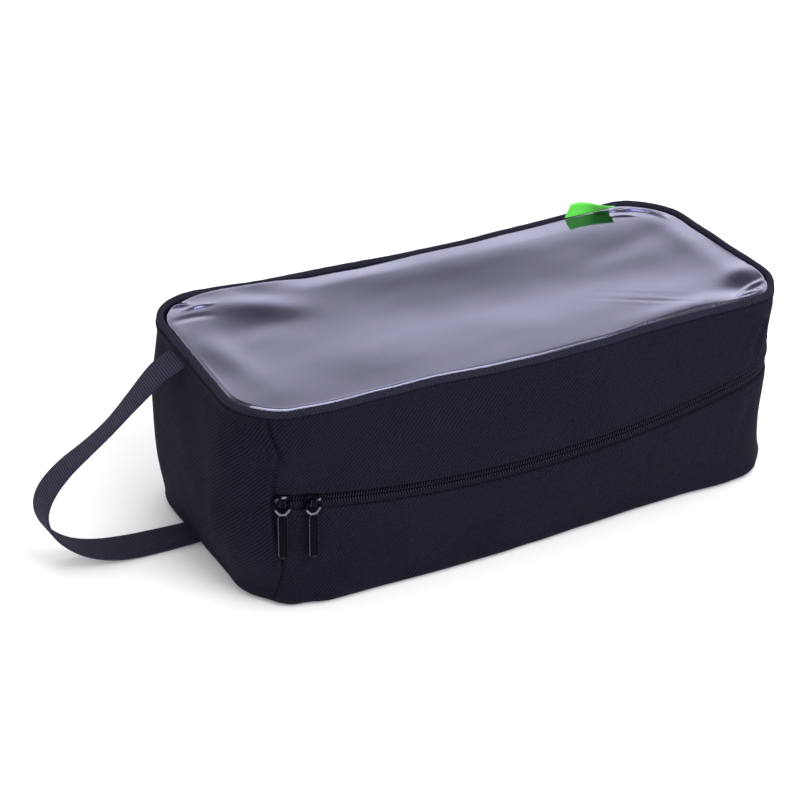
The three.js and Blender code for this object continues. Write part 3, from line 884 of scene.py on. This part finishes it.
# Sharp little folds where the film is gathered into a corner, described in the same way.
FOLDS = (
    (-154, 62, 13, 1.8, -14, 1.2),
    (-143, 54, 12, 1.6, -6, 1),
    (-150, 44, 16, 3.5, -8, -0.6),
    (130, 61, 15, 1.7, -16, 1.1),
    (143, 57, 15, 1.9, -36, 1.2),
    (132, 52, 11, 1.6, -20, 0.8),
    (152, 48, 14, 2.6, -62, 0.8),
    (156, -52, 15, 2.2, 14, 1.4),
    (148, -60, 14, 1.8, 4, 0.9),
)


def turned(x, y, cx, cy, turn):
    """Coordinates along and across a line through (cx, cy), in mm."""
    angle = math.radians(turn)
    dx, dy = x / MM - cx, y / MM - cy
    return dx * math.cos(angle) + dy * math.sin(angle), dy * math.cos(angle) - dx * math.sin(angle)


def film_relief(x, y):
    """Soft waves, hollows and swells, fine ripples towards the front's far end, and gathered corners."""
    total = 0.25 * waves(x, 1.5 * y, 42, 150 * MM, 7) + 0.05 * waves(x, y, 44, 45 * MM, 8)
    for cx, cy, reach, width, turn, rise in SWELLS:
        along, across = turned(x, y, cx, cy, turn)
        total = total + rise * np.exp(-((along / reach) ** 2) - (across / width) ** 2)
    for cx, cy, reach, width, turn, rise in FOLDS:
        along, across = turned(x, y, cx, cy, turn)
        bend = across + 0.012 * along**2
        total = total + rise * bump(along, reach) * fold_section(bend / width, 0.5)
    along, across = turned(x, y, 92, -43, -30)
    ripples = np.sin(across / 1.3 + 0.02 * along) + 0.5 * np.sin(across / 0.8 + 1)
    return (total + 0.07 * ripples * bump(along, 42) * bump(across, 13)) * MM


def make_film():
    s = np.linspace(0, AROUND, 501)[:-1]
    fractions = np.concatenate([np.linspace(1, 0.88, 20)[:-1], np.linspace(0.88, 0.02, 76)])
    rings = rings_to(fractions, FILM_INSET, FILM_Z, s)
    edge = (1 - fractions)[:, None]
    held = smooth(0.0, 0.07, edge)
    turned_down = 1.2 * MM * (1 - smooth(0.006, 0.04, edge))
    lifted = by_place(FILM_EDGE, 0, s)[None, :] * (1 - smooth(0.0, 0.3, edge))
    rings[..., 2] += film_relief(rings[..., 0], rings[..., 1]) * held - turned_down + lifted
    window = slab("window_film_sheet", rings, FILM_THICKNESS, FILM)
    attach(window, "lid")
    stands_for(window, "clear_film", "window_film")


# ---- zip


# Each half's tape and coil, measured from the zip line and inwards from the walls' face.
TAPE_EDGES = (0.7, 13)  # in mm
TAPE_DEPTHS = (1.45, 2.1)  # of its two faces, in mm
COIL_MIDDLE = 1.56 * MM
COIL_REACH = 1.03 * MM
COIL_DEPTH = 1.05 * MM
COIL_HALF_DEPTH = 0.5 * MM
FILAMENT_RADIUS = 0.33 * MM


def tape_section(up):
    """The tape of the half above the zip line (up is 1) or below it (-1)."""
    near, far = (up * edge for edge in TAPE_EDGES)
    low, high = sorted((near, far))
    front, back = TAPE_DEPTHS
    corners = [[front, low], [front, near + 2.8 * up], [front, high], [back, high], [back, low]]
    loop = rounded(np.array(corners), 0.2)

    def section(s):
        zip_z = outline(s)[4][:, None]
        return 0 * zip_z + loop[:, 0] * MM, zip_z + loop[:, 1] * MM

    return section


def coil_path(s, up):
    """A flat spiral beside the zip line, as points, and how near each of them is to its front, which sets
    the painted shade on its back legs.
    """
    turn = 2 * math.pi * s / COIL_PITCH + (0 if up > 0 else math.pi)
    z = outline(s)[4] + up * COIL_MIDDLE + COIL_REACH * np.cos(turn)
    deep = np.sin(turn) * up
    return placed(s, COIL_DEPTH + COIL_HALF_DEPTH * deep, z), smooth(0.35, -0.5, deep)


def pipe_along(name, path, radius, sides, material):
    """A round filament along a path of points."""
    tangent = unit(np.gradient(path, axis=0))
    side = unit(np.cross(tangent, [0.31, 0.22, 0.93]))
    up = np.cross(side, tangent)
    angle = np.arange(sides) * 2 * math.pi / sides
    ring = side[:, None] * np.cos(angle)[None, :, None] + up[:, None] * np.sin(angle)[None, :, None]
    return swept(name, path[:, None] + radius * ring, material)


def make_zip():
    s = fine_run(FRONT_SEAM + 0.6 * MM, BACK_SEAM - 0.6 * MM, 3 * MM)
    turns = np.arange(FRONT_SEAM + 1.2 * MM, BACK_SEAM - 1.2 * MM, COIL_PITCH / 12)
    for half, up, body in (("upper", 1, "lid"), ("lower", -1, "base")):
        section = tape_section(up)
        tape = band(f"zip_tape_{half}_cloth", s, section, TAPE)
        # Painted shade: the tape is darkened near the coil, in the coil's gaps and under the upper hem.
        off_zip = np.abs(section(s)[1] - outline(s)[4][:, None])
        shaded = 3.4 * MM if up > 0 else 2.8 * MM
        mark(tape, "open", smooth(shaded, shaded + 0.6 * MM, off_zip).ravel())
        path, front = coil_path(turns, up)
        coil = pipe_along(f"zip_coil_{half}_spiral", path, FILAMENT_RADIUS, 5, COIL)
        # Painted shade: the coil's back legs are darkened.
        mark(coil, "open", np.repeat(front, 5))
        stands_for(tape, "zip_tape", f"zip_tape_{half}")
        stands_for(coil, "zip_coil", f"zip_coil_{half}")
        for piece in (tape, coil):
            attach(piece, body)


# ---- sliders and pulls

BAR_STANDOFF = 2.8 * MM  # of a pull's bar, outside the walls
PULL_LENGTH = 34.9  # from the bar's middle to the tab's tip, in mm
PULL_HALF_WIDTH = 2.8  # of the tab, in mm


def joint_line(name):
    return np.array(JOINTS[name]["pos_m"]), unit(np.array(JOINTS[name]["axis"], float))


def pull_frame(side):
    """The middle of the pull's bar, and its axes: along the bar, inwards and up."""
    bar, axis = joint_line(f"pull_{side}_lift")
    up = np.array([0, 0, 1.0])
    return bar, np.stack([-axis, np.cross(up, -axis), up])


def slider_frame(side):
    """A point of the zip line, and the slider's axes: along the zip, inwards and up."""
    bar, (_, inwards, _) = pull_frame(side)
    centre, axis = joint_line(f"slider_{side}_travel")
    along = unit(np.cross(axis, bar - centre))
    inwards = unit(inwards - along * (inwards @ along))
    return bar + inwards * BAR_STANDOFF, np.stack([along, inwards, np.cross(along, inwards)])


def shell(outline_xz, profile):
    """Points and faces of a plate: its outline shrinks by each inset of the profile, at each depth y."""
    before, after = np.roll(outline_xz, 1, 0), np.roll(outline_xz, -1, 0)
    direction = unit(after - before)
    inward = direction[:, ::-1] * [-1, 1]
    rings = []
    for inset, y in profile:
        flat = outline_xz + inward * inset
        rings.append(np.stack([flat[:, 0], np.full(len(flat), y), flat[:, 1]], 1))
    size = len(outline_xz)
    faces, _, ends = tube_faces(len(rings), size, False)
    return np.concatenate(rings), faces + ends


def smooth_loop(points, radius, steps=5):
    """A counterclockwise outline in x and z, in mm, with round corners and no long bare runs."""
    loop = rounded(np.array(points, float), radius, steps)
    made = []
    for a, b in zip(loop, np.roll(loop, -1, 0)):
        parts = max(1, int(np.linalg.norm(b - a) / 1.2))
        made += [a + (b - a) * k / parts for k in range(parts)]
    made = np.array(made)
    keep = np.linalg.norm(made - np.roll(made, 1, 0), axis=1) > 1e-4
    return made[keep]


def flat_bar(path, half_across, half_side, corner, axes, closed=False):
    """A bar with a rounded section along a path in a plane. axes puts the plane's two coordinates and the
    sideways one in the order x, y, z."""
    ahead = np.roll(path, -1, 0) - np.roll(path, 1, 0) if closed else np.gradient(path, axis=0)
    direction = unit(ahead)
    across = direction[:, ::-1] * [-1, 1]
    a, b = half_across, half_side
    section = rounded(np.array([[-a, -b], [a, -b], [a, b], [-a, b]]), corner)
    flat = path[:, None] + across[:, None] * section[None, :, :1]
    side = section[None, :, 1:] + 0 * flat[..., :1]
    faces, _, ends = tube_faces(len(path), len(section), closed)
    return np.concatenate([flat, side], -1).reshape(-1, 3)[:, axes], faces + ends


def hardware(name, parts, place, wear_and_highlight):
    """One piece from several small closed shapes in mm. Its last argument, a function of the points, marks
    what is rubbed bright and where a highlight is painted.
    """
    origin, axes = place
    points, faces = [], []
    for some, rows in parts:
        start = sum(len(p) for p in points)
        points.append(some)
        faces += [[v + start for v in row] for row in rows]
    points = np.concatenate(points)
    piece = new_mesh(name, origin + points * MM @ axes, faces, ENAMEL, crisp=48)
    mark(piece, "wear_and_highlight", wear_and_highlight(points))
    return piece


# The slider's plates, in mm: x and z of their corners, then insets and depths along their edges.
PLATE = ((5.1, -2.4), (4.2, 0), (5.1, 2.4), (3.4, 4.2), (-2.6, 3.9), (-5.1, 2.4), (-5.1, -2.4),
         (-2.6, -3.9), (3.4, -4.2))
OUTER_EDGE = ((1.2, -0.22), (0.2, -0.22), (0, -0.45), (0, -1.05), (0.2, -1.32), (0.7, -1.5), (1.7, -1.58))
INNER_EDGE = ((1.2, 3.92), (0.2, 3.92), (0, 4.1), (0, 4.7), (0.2, 4.88), (1.2, 4.95))
POST_HALF = (1.2, 0.08)  # half its length along the zip and half its height
KEEPER_HALF_WIDTH = 1.6
GLINTS = {"left": ((-2.6, 1.2), (0.6, 3.2)), "right": ((3.9, 1.4),)}  # x and z of the painted highlight spots


def slider_parts(mouth):
    """Outer and inner plates, wide at the mouth where the coils enter, and the post between them."""
    plate = np.array(PLATE)
    if mouth < 0:
        plate = (plate * [-1, 1])[::-1]
    loop = smooth_loop(plate, 1.5)
    x, z = POST_HALF
    post_loop = smooth_loop([[-x, -z], [x, -z], [x, z], [-x, z]], 0.07, 2) + [mouth * 1.2, 0]
    return [shell(loop, OUTER_EDGE), shell(loop, INNER_EDGE), shell(post_loop, [(0, -0.4), (0, 4.1)])]


def keeper_parts():
    """An arch over the pull's bar."""
    angle = np.linspace(0, math.pi, 15)
    path = np.stack([-1.55 - 2.15 * np.sin(angle) ** 0.8, -2.1 * np.cos(angle)], 1)
    return [flat_bar(path, 0.45, KEEPER_HALF_WIDTH, 0.4, [2, 0, 1])]


# Painted highlights: bright metal spots on the outer plate's face around each glint.
def slider_painted_glints(points, glints):
    near = [bump(np.hypot(points[:, 0] - x, points[:, 2] - z), 1.1) for x, z in glints]
    return 0.8 * sum(near) * smooth(-1.0, -1.35, points[:, 1])


def keeper_wear(points):
    return 0.12 * smooth(1.3, 1.55, np.abs(points[:, 0])) * smooth(-2.6, -3.5, points[:, 1])


def make_sliders():
    for side, mouth in (("left", 1), ("right", -1)):
        place = slider_frame(side)
        body = hardware(f"slider_{side}_casting", slider_parts(mouth), place,
                        lambda points: slider_painted_glints(points, GLINTS[side]))
        keeper = hardware(f"slider_{side}_bail", keeper_parts(), place, keeper_wear)
        for piece, node in ((body, "body"), (keeper, "keeper")):
            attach(piece, f"slider_{side}")
            stands_for(piece, "slider", f"slider_{side}_{node}")


def tab_outline():
    """The slim tab, from under the loop to its round tip."""
    half, tip = PULL_HALF_WIDTH, PULL_LENGTH - 0.4
    arc = np.linspace(math.pi, 2 * math.pi, 17)
    end = np.stack([half * np.cos(arc), half * np.sin(arc) - tip + half], 1)
    straight = np.linspace(-tip + half, -8.2, 14)[1:]
    right = np.stack([0 * straight + half, straight], 1)
    right = np.concatenate([right, [[2.5, -7.2], [2.0, -6.4], [1.2, -5.9], [0, -5.7]]])
    return np.concatenate([end, right, right[-2::-1] * [-1, 1]])


# The pull's loop, as x and z of its corners, and the raised rim of its tab, as insets and depths, in mm.
LOOP = ((-3.9, -3.2), (-1.5, -6.3), (1.5, -6.3), (3.9, -3.2), (3.9, 0), (-3.9, 0))
LOOP_HALF_WIDTH, LOOP_HALF_DEPTH = 0.78, 0.75
RAISED_RIM = ((1.25, 0.42), (1.0, 0.42), (0.8, 0.74), (0.3, 0.8), (0, 0.5), (0, -0.5), (0.3, -0.8),
              (0.8, -0.74), (1.0, -0.4), (1.25, -0.4))


def pull_wear_and_highlights(points):
    """Painted highlights on the loop's faces and, fainter, at the tab's foot; the tab's rim is rubbed
    bright and painted brighter towards -x as a highlight.
    """
    x, y, z = points.T
    face = np.abs(y)
    # The rim's rubbing is wear; its (1 - 0.25 * x) factor paints a highlight on one side.
    rim = smooth(2.1, 2.45, np.abs(x)) * smooth(0.6, 0.78, face) * (1 - 0.25 * x)
    # Painted highlight at the tab's foot.
    foot = smooth(-PULL_LENGTH + 2.2, -PULL_LENGTH + 1.0, z)
    # Painted highlight on the loop's front faces.
    loop = smooth(-2.6, -3.4, z) * smooth(-7.0, -6.4, z) * smooth(0.55, 0.72, face)
    return 0.11 * rim * smooth(-6.0, -8.0, z) + 0.05 * foot + 0.45 * loop


def make_pulls():
    path = smooth_loop(LOOP, 1.7, 6)
    corner = 0.9 * LOOP_HALF_DEPTH
    ring = flat_bar(path, LOOP_HALF_WIDTH, LOOP_HALF_DEPTH, corner, [0, 2, 1], closed=True)
    parts = [ring, shell(tab_outline(), RAISED_RIM)]
    for side in ("left", "right"):
        pull = hardware(f"pull_{side}_tab", parts, pull_frame(side), pull_wear_and_highlights)
        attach(pull, f"pull_{side}")
        stands_for(pull, "pull", f"pull_{side}")


# ---- strap

# The carry loop's middle line, as x and z in mm, from the rim's seam down to the bottom seam.
STRAP_PATH = (
    (-163.5, 117.6), (-170.4, 116.2), (-181.2, 110.8), (-196.2, 97), (-210, 84), (-223.2, 74),
    (-236, 65), (-246, 55), (-251, 45.5), (-251.5, 36.5), (-248, 27), (-241, 18),
    (-231, 10.5), (-218, 5.4), (-203, 2.7), (-186, 1.8), (-171, 1.6), (-162, 1.6),
)
STRAP_LOW, STRAP_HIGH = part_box("handle_strap")
STRAP_Y = (STRAP_LOW[1] + STRAP_HIGH[1]) / 2
STRAP_WIDTH = STRAP_HIGH[1] - STRAP_LOW[1]
# Its twists: place and reach, as shares of its length, and degrees.
STRAP_TWISTS = ((0.27, 0.22, 15), (0.62, 0.2, -7), (0.82, 0.2, 6))


def spline(points, count):
    """count points along a smooth curve through some points, evenly spaced."""
    p = np.array(points, float)
    p = np.concatenate([[2 * p[0] - p[1]], p, [2 * p[-1] - p[-2]]])
    made = []
    for a, b, c, d in zip(p, p[1:], p[2:], p[3:]):
        for t in np.linspace(0, 1, 24, endpoint=False):
            bend = (2 * a - 5 * b + 4 * c - d) * t**2 + (3 * b - a - 3 * c + d) * t**3
            made.append(0.5 * (2 * b + (c - a) * t + bend))
    made = np.array(made + [p[-2]])
    far = np.concatenate([[0], np.cumsum(np.linalg.norm(np.diff(made, axis=0), axis=1))])
    even = np.linspace(0, far[-1], count)
    return np.stack([np.interp(even, far, column) for column in made.T], 1)


def make_strap():
    count = 190
    path = spline(STRAP_PATH, count) * MM
    middle = np.stack([path[:, 0], 0 * path[:, 0] + STRAP_Y, path[:, 1]], 1)
    share = np.linspace(0, 1, count)
    tangent = unit(np.gradient(middle, axis=0))
    level = np.array([0.0, 1.0, 0.0]) + 0 * tangent
    normal = np.cross(tangent, level)
    twist = 0
    for place, reach, degrees in STRAP_TWISTS:
        twist = twist + np.radians(degrees) * bump(share - place, reach)
    across = level * np.cos(twist)[:, None] + normal * np.sin(twist)[:, None]
    normal = np.cross(tangent, across)
    half, thick = STRAP_WIDTH / 2, 0.8 * MM
    row = [[-half, -thick], [-half / 3, -thick], [half / 3, -thick], [half, -thick]]
    loop = rounded(np.array(row + [[x, thick] for x, _ in row[::-1]]), 0.5 * MM)
    rings = middle[:, None] + loop[None, :, :1] * across[:, None] + loop[None, :, 1:] * normal[:, None]
    strap = swept("carry_strap", rings, WEBBING)
    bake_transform(strap)
    stands_for(strap, "webbing", "handle_strap")


# ---- label, bindings

LABEL_ROOT = 3.3 * MM  # of its middle, in front of the back edge that the frame gives it
LABEL_LEANS = (1.0 * MM, 9.5 * MM)  # of its two ends, over the film
BINDING_DEPTHS = (2.4, 3.5)  # of the bottom seam's tape, in mm


def make_label():
    """A ribbon folded double. It stands up at one end and leans over the film at the other."""
    low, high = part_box("side_label")
    root_y = high[1] - LABEL_ROOT
    least, most = LABEL_LEANS
    t = np.linspace(0, 1, 16)
    rise = 0.8 * (high[2] - low[2])
    leg = np.concatenate([t, 1 - t])
    side = np.repeat([1, -1], 16)
    loop = np.sqrt(np.clip(1 - ((leg - 0.86) / 0.14).clip(0) ** 2, 0, 1))
    rings = []
    for f in np.linspace(0, 1, 28):
        x = low[0] + (high[0] - low[0]) * f
        lean = least + (most - least) * smooth(0.15, 1.0, f)
        y = root_y - lean * leg**1.4 + side * (0.45 * MM + 0.5 * MM * leg) * loop
        curl = 1.2 * MM * math.sin(3.0 * f + 0.4) * leg
        z = low[2] + 1.0 * MM + (rise - 0.9 * MM * f) * leg * (1 - 0.28 * (lean / (10 * MM)))
        rings.append(np.stack([x + (4.0 - 5.0 * f) * MM * leg, y + curl, z], 1))
    piece = swept("side_label_ribbon", np.array(rings), SATIN)
    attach(piece, "lid")
    stands_for(piece, "label", "side_label")


def make_bindings():
    s = np.linspace(0, AROUND, 241)[:-1]

    def ring(s):
        near, far = BINDING_DEPTHS
        loop = rounded(np.array([[near, 2.6], [far, 2.6], [far, 11], [near, 11]]), 0.5) * MM
        return loop[:, 0] + 0 * s[:, None], loop[:, 1] + 0 * s[:, None]

    def strip(s):
        z = np.linspace(12 * MM, 108 * MM, 40)[None, :] + 0 * s[:, None]
        return np.concatenate([0 * z + 4.6 * MM, 0 * z + 3.5 * MM], 1), np.concatenate([z, z[:, ::-1]], 1)

    bottom = band("bottom_seam_tape", s, ring, BINDING, closed=True)
    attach(bottom, "base")
    stands_for(bottom, "binding", "bottom_seam_binding")
    for side, seam, turned in (("front", FRONT_SEAM, -1), ("back", BACK_SEAM, 1)):
        across = np.sort(seam + turned * np.linspace(1.2, 7.6, 9) * MM)
        piece = band(f"side_seam_tape_{side}", across, strip, BINDING)
        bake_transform(piece)
        stands_for(piece, "binding", f"seam_binding_{side}_lower", f"seam_binding_{side}_upper")


make_walls()
make_end_panel()
make_bottom()
make_piping()
make_film()
make_zip()
make_sliders()
make_pulls()
make_strap()
make_label()
make_bindings()

# ---- stage


def make_floor():
    size = 14.0
    paper = Nodes("floor_paper")
    paper.set(Base_Color=(0.94, 0.94, 0.945), Roughness=0.85, Specular_IOR_Level=0.1)
    corners = [(-size, -size, 0), (size, -size, 0), (size, size, 0), (-size, size, 0)]
    floor = new_mesh("floor", corners, [(0, 1, 2, 3)], paper.material)


def make_world():
    """A soft room, brightest low down all round and dimmer overhead."""
    world = bpy.data.worlds.new("studio")
    bpy.context.scene.world = world
    world.use_nodes = True
    tree = world.node_tree
    background = tree.nodes["Background"]
    where = tree.nodes.new("ShaderNodeTexCoord")
    parts = tree.nodes.new("ShaderNodeSeparateXYZ")
    ramp = tree.nodes.new("ShaderNodeValToRGB")
    tree.links.new(where.outputs["Generated"], parts.inputs[0])
    tree.links.new(parts.outputs["Z"], ramp.inputs[0])
    tree.links.new(ramp.outputs[0], background.inputs["Color"])
    stops = ramp.color_ramp.elements
    stops[0].color = (1, 1, 1, 1)
    stops[1].color = (0.35, 0.35, 0.36, 1)
    for place, level in ((0.36, 1.2), (0.48, 0.95), (0.56, 0.7), (0.64, 0.4), (0.76, 0.2), (0.92, 0.18)):
        stops.new(place).color = (level, level, level * 1.03, 1)
    background.inputs["Strength"].default_value = 1.65


def aim(thing, place, target, roll=0.0):
    look = (Vector(target) - Vector(place)).to_track_quat("-Z", "Y") @ Quaternion((0, 0, 1), roll)
    thing.location = place
    thing.rotation_euler = look.to_euler()


def make_light(name, place, target, size, power):
    """A square lamp."""
    light = bpy.data.lights.new(name, "AREA")
    light.size = size
    light.energy = power
    aim(add_object(name, light), place, target)


def make_camera():
    data = bpy.data.cameras.new("camera")
    data.lens = 90.67
    camera = add_object("camera", data)
    aim(camera, (-0.4875, -0.8808, 0.6728), (0.0062, 0.0919, 0), math.radians(1.09))
    bpy.context.scene.camera = camera


make_floor()
make_world()
make_light("key", (0.35, -1.1, 1.5), (0, 0, 0.05), 1.0, 17)
make_light("top", (0.2, 0.1, 2.2), (0, 0, 0), 2.0, 22)
make_camera()
bpy.context.scene.view_settings.view_transform = "Standard"
